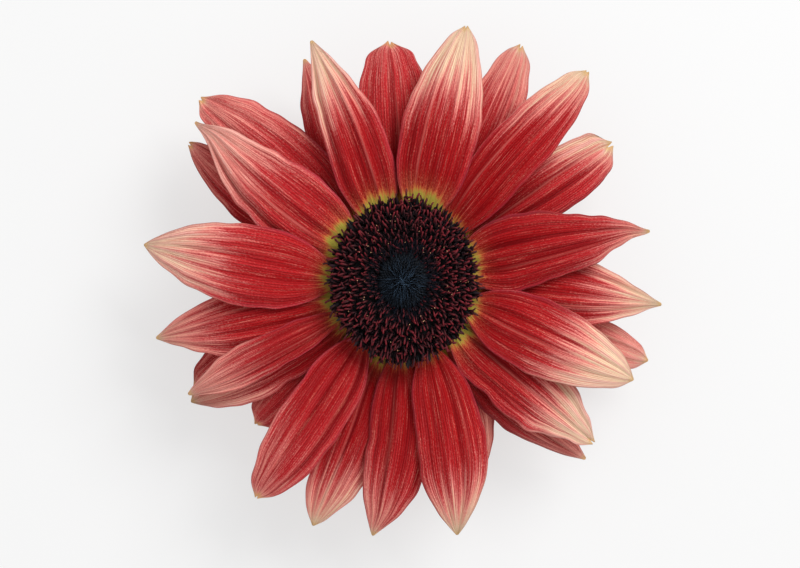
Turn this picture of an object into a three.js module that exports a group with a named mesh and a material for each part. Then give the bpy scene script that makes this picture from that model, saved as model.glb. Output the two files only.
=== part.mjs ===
// A cut sunflower head lying face up: a ring of ray florets that overlap each other, a crown of
// disc florets, two whorls of green bracts under them, the receptacle that carries them all and the
// short cut stem. The stem's cut end and the bent-back tips of the outer bracts touch the surface.
// Units are millimetres and degrees, +Z is up, and the origin is on the surface under the axis.
import * as THREE from "three";

// Stem and receptacle
const stemRadius = 4.6;
const stemLength = 14; // cut end to the foot of the receptacle
const neckRadius = 6.2; // where the stem widens into the receptacle
const rimRadius = 16; // side wall that the ray florets grow from
const rimHeight = 5.2;
const flareHeight = 7; // foot of the receptacle up to its side wall
const receptacleCrown = 0.8; // the top bulges this much in the middle

// Disc florets
const discOverhang = 4.4; // how far the spreading outer florets stand out past the rim
const discRadius = rimRadius + discOverhang;
const floretHeight = 8.4;
const centreRadius = 6.4; // the unopened florets in the middle
const centreDip = 1.3;

// Ray florets
const headReach = 70; // axis to the tip of a ray of share 1
const rayWidth = 20; // widest part of a ray of share 1
const rayThickness = 0.6;
const clawWidth = 0.26 * rimRadius; // the narrow foot of each ray; all of them share the rim
const rayCamber = 1.9; // how far the edges hang below the middle of a ray of share 1
const lowestFoot = 1.2; // top of a ray's foot above the bottom of the rim, at level 0
const highestFoot = 4.4; // and at level 1
const leaving = [6, 21]; // degrees that a ray climbs where it leaves the rim, at level 0 and 1
const ending = [-12, -21]; // degrees at its tip

// Bracts (feet: how far out the two steps of feet sit, as shares of the way from neck to rim;
// fall: how far the tips hang, as a share of the way down to the surface; rise: degrees at the foot)
const innerBracts = { count: 14, reach: 45, width: 12, feet: [0.66, 0.86], fall: 0.35, rise: -6 };
const outerBracts = { count: 10, reach: 40, width: 10.5, feet: [0.24, 0.45], fall: 1, rise: -2 };
const bractThickness = 0.9;
const bractFootWidth = 4.4;
const bractCamber = 1.2;

// All blades, rays and bracts alike
const footTrough = -0.3; // camber at a blade's foot, as a share of that further out
const touchGap = 0.3; // between two pieces that meet face to face
const layGap = 0.45; // kept under a blade that lies over another
const liftSpread = 22; // how far along a blade a lift fades out

// The ray florets, from the lowest to the one that lies on top. The columns are:
// level of the foot on the rim (0 lowest, 1 highest), azimuth of the foot, azimuth of the tip,
// reach and width (shares of headReach and rayWidth), how far along it is widest,
// leanness towards the foot and towards the tip (a small number makes a full outline),
// sideways sway (share of its length), height of the tip over the foot, roll about its length.
const RAYS = [
  [0, 120, 114, 0.95, 0.81, 0.5, 0.55, 1.0, 0, -5, 4],
  [0, 155, 147.2, 1.0, 0.78, 0.55, 0.55, 0.8, 0.03, -6, -3],
  [0, 207, 207.2, 0.925, 0.9, 0.62, 0.55, 0.5, 0, -7, 0],
  [0, 223, 224.2, 0.806, 0.7, 0.6, 0.6, 0.5, 0, -6, 0],
  [0, 298, 292.5, 0.8, 0.86, 0.55, 0.55, 0.65, 0, -6, 4],
  [0, 314, 315.7, 0.998, 0.74, 0.5, 0.55, 0.9, -0.04, -6, 0],
  [0, 350, 342, 1.01, 0.62, 0.65, 0.6, 0.5, 0, -7, 0],
  [0, 32, 33.3, 0.985, 0.84, 0.62, 0.5, 0.45, 0, -5, -4],
  [0, 58, 63.4, 1.035, 0.73, 0.6, 0.5, 0.55, -0.02, -4, 0],
  [0.5, 95, 93.3, 0.938, 1.0, 0.6, 0.5, 0.45, -0.015, -2, 0],
  [0.5, 135, 138, 1.066, 0.95, 0.55, 0.5, 0.65, -0.04, -2, 3],
  [0.5, 0, -5.2, 1.01, 0.98, 0.5, 0.5, 1.1, 0.01, -2, 0],
  [0.4, 253, 249.8, 1.015, 0.81, 0.6, 0.5, 0.7, 0.03, -3, 0],
  [0.45, 216, 209.7, 0.95, 0.82, 0.6, 0.5, 0.7, 0, -3, -3],
  [0.6, 319, 319.7, 0.976, 0.95, 0.52, 0.5, 0.75, 0, -1, 3],
  [0.6, 269, 264.1, 0.997, 0.87, 0.58, 0.5, 0.85, 0.05, -2, 0],
  [0.7, 197, 193, 0.985, 0.94, 0.5, 0.5, 0.9, 0.005, -2, -3],
  [1, 46.5, 48, 1.085, 0.78, 0.56, 0.4, 0.6, 0.022, 1, -5],
  [1, 15, 12.3, 0.975, 0.935, 0.4, 0.45, 1.0, 0.01, 1, 0],
  [1, 74, 76, 1.018, 1.03, 0.5, 0.5, 0.72, 0.008, 3, 0],
  [1, 149, 141.6, 1.01, 1.0, 0.42, 0.5, 1.0, 0.03, 3, 2],
  [1, 179, 172, 1.011, 1.1, 0.5, 0.62, 0.8, 0.01, 2, 0],
  [1, 110, 110.9, 0.993, 0.82, 0.45, 0.45, 0.9, -0.025, 4, 5],
  [1, 341, 336.8, 0.97, 1.0, 0.52, 0.6, 0.7, 0, 2, -3],
  [1, 292, 282.1, 1.005, 0.95, 0.6, 0.5, 0.9, 0.042, 1, 3],
  [1, 234, 235.9, 1.016, 0.86, 0.58, 0.5, 0.6, 0.015, 1, -4],
  [1, 209, 207.8, 0.94, 0.54, 0.6, 0.5, 0.8, 0, 1, 0],
];
const colours = {
  stem: new THREE.MeshStandardMaterial({ color: 0x7d9a4a, roughness: 0.65, metalness: 0 }),
  receptacle: new THREE.MeshStandardMaterial({ color: 0x8aa34f, roughness: 0.7, metalness: 0 }),
  bract: new THREE.MeshStandardMaterial({ color: 0x4f7433, roughness: 0.6, metalness: 0 }),
  ray: new THREE.MeshStandardMaterial({ color: 0xb3202a, roughness: 0.55, metalness: 0 }),
  openFloret: new THREE.MeshStandardMaterial({ color: 0x3a0f18, roughness: 0.7, metalness: 0 }),
  closedFloret: new THREE.MeshStandardMaterial({ color: 0x0d1522, roughness: 0.6, metalness: 0 }),
};

const radians = THREE.MathUtils.degToRad;
const mix = THREE.MathUtils.lerp;

// Height over a span of length 1 that starts at 0 and ends at `end` with the two slopes given.
function arch(u, startSlope, endSlope, end) {
  return startSlope * u * (1 - u) ** 2 + endSlope * u * u * (u - 1) + end * u * u * (3 - 2 * u);
}

// Half the width of a leaf outline as a share of its widest: a sine hump whose crest is moved to
// `widest`, fuller or leaner on each side of it.
function leafShare(u, widest, footFullness, tipFullness) {
  const hump = Math.sin(Math.PI * u ** (Math.log(0.5) / Math.log(widest)));
  return Math.max(hump, 0) ** (u < widest ? footFullness : tipFullness);
}

// A blade is a thin leaf whose rows stand square to the straight line from its foot to its tip, so
// that its height over any point of the plan can be looked up. Its own X runs along that line.
class Blade {
  constructor(name, foot, tip, shape) {
    Object.assign(this, shape, { name });
    this.foot = foot;
    this.azimuth = Math.atan2(tip.y - foot.y, tip.x - foot.x);
    this.length = Math.hypot(tip.x - foot.x, tip.y - foot.y);
    this.along = Array.from({ length: this.stations + 1 }, (_, i) => this.stationAt(i));
    this.middle = this.along.map((u) => this.sway * this.length * Math.sin(Math.PI * u));
    this.half = this.along.map((u) => this.halfWidthAt(u));
    this.height = this.along.map((u, i) => this.rowHeights(u, i));
  }

  // Stations lie closer together near the foot and the tip, where the outline turns fastest.
  stationAt(i) {
    const share = i / this.stations;
    return mix(share, (1 - Math.cos(Math.PI * share)) / 2, 0.6);
  }

  halfWidthAt(u) {
    const leaf = (this.width / 2) * leafShare(u, this.widest, this.footFullness, this.tipFullness);
    const foot = (this.footWidth / 2) * (1 - u) ** 3;
    return Math.max(leaf, foot, this.pointWidth / 2);
  }

  rowHeights(u, i) {
    const spine = this.length * arch(u, this.startSlope, this.endSlope, this.tipHeight / this.length);
    return Array.from({ length: this.columns + 1 }, (_, j) => {
      const v = (2 * j) / this.columns - 1;
      const settled = THREE.MathUtils.smoothstep(u, 0, 0.4);
      const arched = this.camber * mix(footTrough, 1, settled);
      const edgeDrop = arched * ((this.half[i] * v) / (this.width / 2)) ** 2;
      return spine - edgeDrop + settled * Math.tan(this.roll) * this.half[i] * v;
    });
  }

  // Plan position and top height at row i and column j, both of which may lie between grid lines.
  pointAt(i, j) {
    const row = Math.min(Math.floor(i), this.stations - 1);
    const column = Math.min(Math.floor(j), this.columns - 1);
    const [a, b] = [i - row, j - column];
    const v = (2 * j) / this.columns - 1;
    const x = this.length * mix(this.along[row], this.along[row + 1], a);
    const y = mix(this.middle[row] + v * this.half[row], this.middle[row + 1] + v * this.half[row + 1], a);
    const z = mix(
      mix(this.height[row][column], this.height[row][column + 1], b),
      mix(this.height[row + 1][column], this.height[row + 1][column + 1], b),
      a,
    );
    const [cos, sin] = [Math.cos(this.azimuth), Math.sin(this.azimuth)];
    return new THREE.Vector3(
      this.foot.x + x * cos - y * sin,
      this.foot.y + x * sin + y * cos,
      this.foot.z + z,
    );
  }

  // Row number and top height over a point of the plan, or null beside the blade.
  over(x, y) {
    const [dx, dy] = [x - this.foot.x, y - this.foot.y];
    const u = (dx * Math.cos(this.azimuth) + dy * Math.sin(this.azimuth)) / this.length;
    if (u < 0 || u > 1) return null;
    let row = 0;
    while (row < this.stations - 1 && this.along[row + 1] < u) row += 1;
    const a = (u - this.along[row]) / (this.along[row + 1] - this.along[row]);
    const side = dy * Math.cos(this.azimuth) - dx * Math.sin(this.azimuth);
    const v =
      (side - mix(this.middle[row], this.middle[row + 1], a)) / mix(this.half[row], this.half[row + 1], a);
    if (Math.abs(v) > 1) return null;
    return { row: row + a, z: this.pointAt(row + a, ((v + 1) / 2) * this.columns).z };
  }

  // Raises the blade, from its foot outwards, until it clears every piece in `below`.
  layOver(below, gap) {
    const need = this.along.map(() => 0);
    const ask = (row, lift) => {
      for (const i of [Math.floor(row), Math.ceil(row)]) need[i] = Math.max(need[i], lift);
    };
    for (const piece of below) {
      for (let i = 0; i <= this.stations; i += 0.5) {
        for (let j = 0; j <= this.columns; j += 0.5) {
          const mine = this.pointAt(i, j);
          const under = piece.over(mine.x, mine.y);
          if (under) ask(i, under.z + gap + this.thickness - mine.z);
        }
      }
      for (const theirs of piece.corners?.() ?? []) {
        const mine = this.over(theirs.x, theirs.y);
        if (mine) ask(mine.row, theirs.z + gap + this.thickness - mine.z);
      }
    }
    const fade = (i, k) => {
      const apart = Math.abs(this.along[i] - this.along[k]) * this.length;
      return apart < liftSpread ? Math.cos((Math.PI / 2) * (apart / liftSpread)) ** 2 : 0;
    };
    this.height = this.height.map((row, i) => {
      const lift = i === 0 ? 0 : Math.max(...need.map((wanted, k) => wanted * fade(i, k)));
      return row.map((z) => z + lift);
    });
  }

  corners() {
    return this.height.flatMap((row, i) => row.map((_, j) => this.pointAt(i, j)));
  }

  // A box of stations by columns cells, bent to the blade: its top is the blade's top face.
  mesh(material) {
    const geometry = new THREE.BoxGeometry(1, 1, 1, this.stations, this.columns, 1);
    const position = geometry.getAttribute("position");
    for (let n = 0; n < position.count; n += 1) {
      const i = Math.round((position.getX(n) + 0.5) * this.stations);
      const v = 2 * position.getY(n);
      const j = Math.round(((v + 1) / 2) * this.columns);
      const z = this.height[i][j] - (position.getZ(n) < 0 ? this.thickness : 0);
      position.setXYZ(n, this.along[i] * this.length, this.middle[i] + v * this.half[i], z);
    }
    const mesh = new THREE.Mesh(geometry, material);
    mesh.name = this.name;
    mesh.position.copy(this.foot);
    mesh.rotation.z = this.azimuth;
    return mesh;
  }
}

function polar(radius, azimuth, z = 0) {
  return new THREE.Vector3(radius * Math.cos(radians(azimuth)), radius * Math.sin(radians(azimuth)), z);
}

// A round piece about the Z axis from its profile, listed from the bottom up.
function turned(name, profile, material, segments = 36) {
  const points = profile.map(([r, z]) => new THREE.Vector2(r, z));
  const geometry = new THREE.LatheGeometry(points, segments).rotateX(Math.PI / 2);
  const mesh = new THREE.Mesh(geometry, material);
  mesh.name = name;
  return mesh;
}

const rimBottom = stemLength + flareHeight;
const rimTop = rimBottom + rimHeight;

// Underside of the receptacle, as shares of the way from the neck to the rim and of the flare.
const FLARE = [
  [0, 0],
  [0.4, 0.32],
  [0.8, 0.7],
  [1, 1],
];

function undersideAt(share) {
  const k = FLARE.findIndex(([outward]) => outward >= share);
  const [[r0, z0], [r1, z1]] = [FLARE[k - 1], FLARE[k]];
  return stemLength + flareHeight * mix(z0, z1, (share - r0) / (r1 - r0));
}

function stem() {
  const swell = mix(stemRadius, neckRadius, 0.3);
  return turned(
    "cut_stem",
    [
      [0, 0],
      [stemRadius * 0.96, 0],
      [stemRadius, stemLength * 0.05],
      [stemRadius, stemLength * 0.45],
      [swell, stemLength * 0.75],
      [neckRadius, stemLength - touchGap],
      [0, stemLength - touchGap],
    ],
    colours.stem,
    24,
  );
}

function receptacle() {
  return turned(
    "receptacle",
    [
      [0, stemLength],
      ...FLARE.map(([out, up]) => [mix(neckRadius, rimRadius, out), stemLength + flareHeight * up]),
      [rimRadius, rimTop],
      [rimRadius * 0.6, rimTop + receptacleCrown * 0.7],
      [0, rimTop + receptacleCrown],
    ],
    colours.receptacle,
  );
}

// The open florets spread over the feet of the rays, so the ring is wider at its top.
function openFlorets() {
  const foot = rimTop + receptacleCrown + touchGap;
  const innerRadius = centreRadius + touchGap;
  const top = foot + floretHeight;
  return turned(
    "open_disc_florets",
    [
      [innerRadius, foot],
      [rimRadius - 0.6, foot],
      [mix(rimRadius, discRadius, 0.75), foot + floretHeight * 0.3],
      [discRadius, foot + floretHeight * 0.52],
      [discRadius - 0.8, foot + floretHeight * 0.76],
      [mix(innerRadius, discRadius, 0.66), top],
      [mix(innerRadius, discRadius, 0.25), top - centreDip * 0.45],
      [innerRadius, top - centreDip],
      [innerRadius, foot],
    ],
    colours.openFloret,
    40,
  );
}

function closedFlorets() {
  const foot = rimTop + receptacleCrown + touchGap;
  const top = foot + floretHeight - centreDip;
  return turned(
    "unopened_disc_florets",
    [
      [0, foot],
      [centreRadius, foot],
      [centreRadius, top],
      [centreRadius * 0.55, top + 0.25],
      [0, top - 0.1],
    ],
    colours.closedFloret,
    24,
  );
}

// One whorl of bracts. The foot of each meets the underside of the receptacle, and every other
// foot sits a step further out and up, so its bract lies over both of its neighbours.
function bractWhorl(label, whorl, turn) {
  const bracts = Array.from({ length: whorl.count }, (_, k) => {
    const azimuth = turn + (360 * k) / whorl.count + 2 * Math.sin(2.4 * k + turn);
    const uneven = 1 + 0.09 * Math.sin(5.1 * k + turn);
    const share = whorl.feet[k % 2];
    const foot = polar(mix(neckRadius, rimRadius, share), azimuth, undersideAt(share) - touchGap);
    const name = `${label}_bract_${String(k + 1).padStart(2, "0")}`;
    return new Blade(name, foot, polar(whorl.reach * uneven, azimuth + 4), {
      stations: 6,
      columns: 4,
      width: whorl.width,
      thickness: bractThickness,
      footWidth: bractFootWidth,
      pointWidth: 0.5,
      widest: 0.36,
      footFullness: 0.6,
      tipFullness: 1.25,
      sway: 0.02 * Math.sin(3.7 * k),
      camber: bractCamber,
      roll: radians(3 * Math.sin(1.9 * k)),
      startSlope: Math.tan(radians(whorl.rise)),
      endSlope: Math.tan(radians(-34)),
      tipHeight: (bractThickness - foot.z) * whorl.fall * uneven,
    });
  });
  return bracts.sort((a, b) => a.foot.z - b.foot.z);
}

function rayFloret(values, index) {
  const [level, footAzimuth, tipAzimuth, reach, width, widest, footFullness, tipFullness, ...rest] = values;
  const [sway, tipHeight, roll] = rest;
  const tip = polar(headReach * reach, tipAzimuth);
  const leaves = tip.clone().sub(polar(rimRadius, footAzimuth));
  const skew = Math.atan2(leaves.y, leaves.x) - radians(footAzimuth);
  const clear = touchGap + (clawWidth / 2) * Math.abs(Math.sin(skew));
  const foot = polar(rimRadius + clear, footAzimuth, rimBottom + mix(lowestFoot, highestFoot, level));
  const name = `ray_floret_${String(index + 1).padStart(2, "0")}`;
  return new Blade(name, foot, tip, {
    stations: 10,
    columns: 6,
    width: rayWidth * width,
    thickness: rayThickness,
    footWidth: clawWidth,
    pointWidth: 0.5,
    widest,
    footFullness,
    tipFullness,
    sway,
    camber: rayCamber * width,
    roll: radians(roll),
    startSlope: Math.tan(radians(mix(...leaving, level))),
    endSlope: Math.tan(radians(mix(...ending, level))),
    tipHeight,
  });
}

// The surface that the head lies on, as a piece that a blade can be laid over.
const surface = { over: () => ({ z: -layGap }) };

const head = new THREE.Group();
head.add(stem(), receptacle(), openFlorets(), closedFlorets());

const placed = [surface];
const bracts = [...bractWhorl("outer", outerBracts, 12), ...bractWhorl("inner", innerBracts, 28)];
for (const blade of [...bracts, ...RAYS.map(rayFloret)]) {
  blade.layOver(placed, layGap);
  placed.push(blade);
  const material = blade.name.startsWith("ray") ? colours.ray : colours.bract;
  head.add(blade.mesh(material));
}

export default head;
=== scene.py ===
# %% [markdown]
# # A cut sunflower head, lying face up
#
# The head is a ring of ray florets (the "petals") round a disc of several hundred tiny florets. Two
# whorls of green bracts and a fleshy receptacle hold them from behind, and a short cut stem is left.
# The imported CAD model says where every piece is. This script gives each one its living surface:
# folds, veins, wavy edges, hairs, and the way the red runs out into cream.

# %% Load the frame
import math
import bmesh
import bpy
import numpy as np
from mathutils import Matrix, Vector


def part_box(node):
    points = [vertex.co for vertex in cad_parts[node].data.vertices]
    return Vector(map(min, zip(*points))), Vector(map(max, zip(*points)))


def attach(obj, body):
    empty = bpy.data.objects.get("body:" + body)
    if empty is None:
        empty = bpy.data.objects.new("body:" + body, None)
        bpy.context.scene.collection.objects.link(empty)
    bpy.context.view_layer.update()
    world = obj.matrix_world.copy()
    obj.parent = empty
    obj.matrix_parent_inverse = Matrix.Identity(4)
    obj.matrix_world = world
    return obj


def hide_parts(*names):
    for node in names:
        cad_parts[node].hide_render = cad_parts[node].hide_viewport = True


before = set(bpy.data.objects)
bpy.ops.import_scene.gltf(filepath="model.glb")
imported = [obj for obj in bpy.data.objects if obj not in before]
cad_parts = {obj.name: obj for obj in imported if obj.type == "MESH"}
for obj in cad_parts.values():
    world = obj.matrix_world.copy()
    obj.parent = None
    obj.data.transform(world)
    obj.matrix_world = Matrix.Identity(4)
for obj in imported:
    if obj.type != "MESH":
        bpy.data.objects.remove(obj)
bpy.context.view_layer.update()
mm = 0.001

# %% [markdown]
# ## Helpers for surfaces
#
# Every piece below is a grid of points: rows go along the piece and columns go round or across it.
# One function turns such grids into closed meshes, and one puts a finished mesh into the scene. The
# numbers that a material needs, such as how creamy the tissue is at a point, ride along as
# attributes on the points, because they follow the piece's own form and not its place in space.

# %% Faces of a closed grid
def lathe_faces(rows, columns):
    """Quads of a tube of rows by columns points. Its end rows may each be shrunk to a point."""
    row, column = np.meshgrid(np.arange(rows - 1), np.arange(columns), indexing="ij")
    beside = (column + 1) % columns
    return np.stack([row * columns + column, row * columns + beside,
                     (row + 1) * columns + beside, (row + 1) * columns + column], axis=-1).reshape(-1, 4)


def closed_grid_faces(rows, columns):
    """The same tube, plus a strip of quads that shuts each end.

    The tube's cross-section is flat: column j lies over column columns-1-j, so an end is shut by
    joining those pairs."""
    across = np.arange(columns // 2 - 1)
    start = np.stack([columns - 1 - across, columns - 2 - across, across + 1, across], axis=-1)
    end = start[:, ::-1] + (rows - 1) * columns
    return np.concatenate([lathe_faces(rows, columns), start, end])


def closed_skin(shape, **pairs):
    """For each name, the top's values from right to left, and then the underside's back again."""
    whole = np.ones(shape)
    return {name: np.concatenate([upper * whole, (lower * whole)[:, ::-1]], axis=1)
            for name, (upper, lower) in pairs.items()}


print("a 3 by 8 tube has", len(closed_grid_faces(3, 8)), "faces")


# %% From arrays to a piece
def make_piece(name, points, faces, material, stands_for=(), marks=None, merge=False):
    """Put points (n by 3, metres) and quads (m by 4) into a smooth mesh that rides on the body.

    marks maps an attribute's name to one number for each point. merge closes poles and seams by
    joining the points that share a place."""
    mesh = bpy.data.meshes.new(name)
    mesh.vertices.add(len(points))
    mesh.vertices.foreach_set("co", np.asarray(points, dtype=np.float32).ravel())
    mesh.loops.add(faces.size)
    mesh.loops.foreach_set("vertex_index", faces.astype(np.int32).ravel())
    mesh.polygons.add(len(faces))
    mesh.polygons.foreach_set("loop_start", np.arange(0, faces.size, 4, dtype=np.int32))
    for label, values in (marks or {}).items():
        attribute = mesh.attributes.new(label, "FLOAT", "POINT")
        attribute.data.foreach_set("value", np.asarray(values, dtype=np.float32).ravel())
    mesh.update(calc_edges=True)
    if merge:
        work = bmesh.new()
        work.from_mesh(mesh)
        bmesh.ops.remove_doubles(work, verts=work.verts, dist=1e-7)
        bmesh.ops.recalc_face_normals(work, faces=work.faces)
        work.to_mesh(mesh)
        work.free()
    mesh.polygons.foreach_set("use_smooth", np.ones(len(mesh.polygons), dtype=bool))
    mesh.materials.append(material)
    piece = bpy.data.objects.new(name, mesh)
    bpy.context.scene.collection.objects.link(piece)
    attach(piece, "root")
    if stands_for:
        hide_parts(*stands_for)
    return piece


def smoothstep(low, high, value):
    """0 below low, 1 above high, and 3t^2 - 2t^3 between them."""
    t = np.clip((value - low) / (high - low), 0, 1)
    return t * t * (3 - 2 * t)


def cubic_weights(knots, samples):
    """Matrix that carries values at evenly numbered knots to samples of the smooth curve through them.

    The curve is a Catmull-Rom spline: between knots k and k+1 it blends the values at k-1 to k+2 by
    four cubics in the leftover t, and the missing knot past each end repeats by reflection."""
    place = np.linspace(0, knots - 1, samples)
    k = np.minimum(place.astype(int), knots - 2)
    t = place - k
    cubics = np.stack([-t + 2 * t**2 - t**3, 2 - 5 * t**2 + 3 * t**3,
                       t + 4 * t**2 - 3 * t**3, -t**2 + t**3]) / 2
    padded = np.zeros((samples, knots + 2))
    for step in range(4):
        padded[np.arange(samples), k + step] += cubics[step]
    weights = padded[:, 1:-1].copy()
    weights[:, 0] += 2 * padded[:, 0]
    weights[:, 1] -= padded[:, 0]
    weights[:, -1] += 2 * padded[:, -1]
    weights[:, -2] -= padded[:, -1]
    return weights


print("weights of a sample sum to", round(float(cubic_weights(7, 9)[4].sum()), 6))

# %% [markdown]
# ## Reading a blade from the frame
#
# In the CAD model a petal or a bract is a thin bent sheet whose rows of corners stand square to the
# line from foot to tip. Its corners can be sorted back into those rows: the foot's row is the one
# nearest the axis, the tip's is the furthest corner and its close neighbours, and everything else
# falls into rows by its distance along the line between the two.

# %% Sort a blade's corners into rows
petal_corners = (11, 7)  # rows and columns of corners on a CAD ray
bract_corners = (7, 5)  # and on a CAD bract


def node_corners(node):
    """The corners of a CAD node's mesh, n by 3."""
    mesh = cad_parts[node].data
    corners = np.empty(len(mesh.vertices) * 3, dtype=np.float32)
    mesh.vertices.foreach_get("co", corners)
    return corners.reshape(-1, 3)


def read_blade(node, rows, columns):
    """Foot, direction, and per row: distance along, sideways middle, half width and top heights."""
    corners = np.unique(np.round(node_corners(node).astype(float), 6), axis=0)
    reach = np.hypot(corners[:, 0], corners[:, 1])
    foot = corners[reach < reach.min() + 1.0 * mm].mean(axis=0)
    furthest = corners[np.argmax(np.hypot(*(corners - foot)[:, :2].T))]
    tip = corners[np.hypot(*(corners - furthest)[:, :2].T) < 0.6 * mm].mean(axis=0)
    direction = (tip - foot)[:2] / np.hypot(*(tip - foot)[:2])
    sideways = np.array([-direction[1], direction[0]])
    along = (corners - foot)[:, :2] @ direction
    aside = (corners - foot)[:, :2] @ sideways
    order = np.argsort(along).reshape(rows, columns * 2)
    order = np.take_along_axis(order, np.argsort(aside[order], axis=1), axis=1)
    tops = np.sort(corners[order, 2].reshape(rows, columns, 2), axis=2)[:, :, 1]
    edges = aside[order].reshape(rows, columns, 2).mean(axis=2)
    return {
        "foot": foot[:2],
        "direction": direction,
        "sideways": sideways,
        "along": along[order].mean(axis=1),
        "middle": (edges[:, 0] + edges[:, -1]) / 2,
        "half": (edges[:, -1] - edges[:, 0]) / 2,
        "top": tops,
    }


sample = read_blade("ray_floret_20", *petal_corners)
print("ray floret 20 is", round(sample["along"][-1] / mm, 1), "mm long and",
      round(2 * sample["half"].max() / mm, 1), "mm wide")


# %% Carry a blade to a finer grid
def smooth_blade(blade, rows, columns):
    """Distance along, middle, half width and arch on a finer grid, with u and v on that grid.

    u runs from 0 at the foot to 1 at the tip, and v from -1 on the right to 1 on the left."""
    by_row = cubic_weights(len(blade["along"]), rows)
    by_column = cubic_weights(blade["top"].shape[1], columns)
    along, middle, half = (by_row @ blade[key] for key in ("along", "middle", "half"))
    u = (along / blade["along"][-1])[:, None]
    v = np.linspace(-1, 1, columns)[None, :]
    return along, middle, half, by_row @ blade["top"] @ by_column.T, u, v


def blade_place(blade, forward, aside):
    """x and y of points: the foot, plus forward along the blade's line, plus aside square to it."""
    return (blade["foot"][:, None, None] + blade["direction"][:, None, None] * forward
            + blade["sideways"][:, None, None] * aside)


print("its arch rises to", round(smooth_blade(sample, 40, 20)[3].max() / mm, 1), "mm")

# %% [markdown]
# ## The materials
#
# Petals, bracts and stem are all plant tissue: long cells in rows, so every pattern is drawn out
# along the piece. One node group makes those fibres for all of them. It reads how far along and
# across the piece a point is, squeezes that lengthwise, and gives back broad streaks, fine fibres
# and a height for the bump.

# %% Small helpers for node trees
def place_node(tree, kind, sockets=None, **settings):
    """Add a node. sockets maps an input to a number or colour, or to an output to link from."""
    node = tree.nodes.new(kind)
    for name, value in settings.items():
        setattr(node, name, value)
    for key, value in (sockets or {}).items():
        if isinstance(value, bpy.types.NodeSocket):
            tree.links.new(value, node.inputs[key])
        else:
            node.inputs[key].default_value = value
    return node


def reckon(tree, operation, first, second=0.0, clamp=False):
    """The output of one Math node."""
    return place_node(tree, "ShaderNodeMath", {0: first, 1: second}, operation=operation,
                      use_clamp=clamp).outputs[0]


def times(tree, first, second):
    """Two values multiplied."""
    return reckon(tree, "MULTIPLY", first, second)


def plus(tree, first, second):
    """Two values added."""
    return reckon(tree, "ADD", first, second)


def blend_colours(tree, share, under, over):
    """The colour that goes from under to over as share goes from 0 to 1."""
    return place_node(tree, "ShaderNodeMix", {0: share, 6: under, 7: over},
                      data_type="RGBA").outputs[2]


def ease(tree, value, low, high):
    """A smooth step from 0 at low to 1 at high."""
    return place_node(tree, "ShaderNodeMapRange", {"Value": value, "From Min": low, "From Max": high},
                      interpolation_type="SMOOTHSTEP").outputs["Result"]


def mark(tree, name):
    """The numbers that a piece carries on its points under that name."""
    return place_node(tree, "ShaderNodeAttribute", attribute_name=name).outputs["Fac"]


def colour(red, green, blue):
    """An sRGB colour of 0 to 255 as the linear colour that sockets hold."""
    share = np.array([red, green, blue]) / 255
    linear = np.where(share <= 0.04045, share / 12.92, ((share + 0.055) / 1.055) ** 2.4)
    return (*linear.tolist(), 1.0)


def new_material(name, **plain):
    """A material with its Principled node's plain sockets set. Returns it, its tree and that node."""
    material = bpy.data.materials.new(name)
    material.use_nodes = True
    shader = material.node_tree.nodes["Principled BSDF"]
    for socket, value in plain.items():
        shader.inputs[socket.replace("_", " ")].default_value = value
    return material, material.node_tree, shader


print("a middle grey is", round(colour(128, 128, 128)[0], 3), "in the colours that sockets hold")


# %% The shared fibre pattern
def build_fibres():
    """Node group: noise drawn out along the piece, as streaks, fibres, cells, veins and a bump height.

    Veins are the crests of a cosine of the distance across, which the broad noise bends a little."""
    group = bpy.data.node_groups.new("plant fibres", "ShaderNodeTree")
    for name, start in (("Along", 0.0), ("Across", 0.0), ("Length Scale", 90.0), ("Width Scale", 7.0),
                        ("Vein Count", 9.0)):
        socket = group.interface.new_socket(name, in_out="INPUT", socket_type="NodeSocketFloat")
        socket.default_value = start
    for name in ("Streaks", "Fibres", "Cells", "Veins", "Height"):
        group.interface.new_socket(name, in_out="OUTPUT", socket_type="NodeSocketFloat")
    given = group.nodes.new("NodeGroupInput").outputs
    result = group.nodes.new("NodeGroupOutput").inputs
    length = times(group, given["Along"], given["Length Scale"])
    width = times(group, given["Across"], given["Width Scale"])

    def stretched_noise(lengthwise, crosswise):
        place = place_node(group, "ShaderNodeCombineXYZ", {
            0: times(group, length, lengthwise), 1: times(group, width, crosswise)})
        return place_node(group, "ShaderNodeTexNoise", {
            "Vector": place.outputs[0], "Scale": 1.0, "Detail": 3.0, "Roughness": 0.6}).outputs[0]

    broad = stretched_noise(1.0, 1.0)
    fine = stretched_noise(2.6, 5.2)
    cells = stretched_noise(34.0, 11.0)
    bend = plus(group, times(group, given["Across"], given["Vein Count"]), times(group, broad, 1.6))
    crest = reckon(group, "COSINE", times(group, bend, 2 * math.pi))
    veins = ease(group, plus(group, crest, times(group, fine, 0.6)), 0.45, 1.35)
    fibre = plus(group, times(group, fine, 0.5), times(group, cells, 0.5))
    height = plus(group, times(group, fine, 0.7), times(group, cells, 0.5))
    height = reckon(group, "SUBTRACT", height, times(group, veins, 0.35))
    for output, value in (("Streaks", ease(group, broad, 0.28, 0.72)),
                          ("Fibres", ease(group, fibre, 0.32, 0.68)),
                          ("Cells", ease(group, cells, 0.48, 0.64)), ("Veins", veins), ("Height", height)):
        group.links.new(value, result[output])
    return group


fibres = build_fibres()


def add_fibres(tree, length_scale, width_scale, vein_count):
    """Place the fibre group in a material, fed with the piece's own along and across."""
    node = tree.nodes.new("ShaderNodeGroup")
    node.node_tree = fibres
    tree.links.new(mark(tree, "along"), node.inputs["Along"])
    tree.links.new(mark(tree, "across"), node.inputs["Across"])
    node.inputs["Length Scale"].default_value = length_scale
    node.inputs["Width Scale"].default_value = width_scale
    node.inputs["Vein Count"].default_value = vein_count
    return node.outputs


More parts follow.
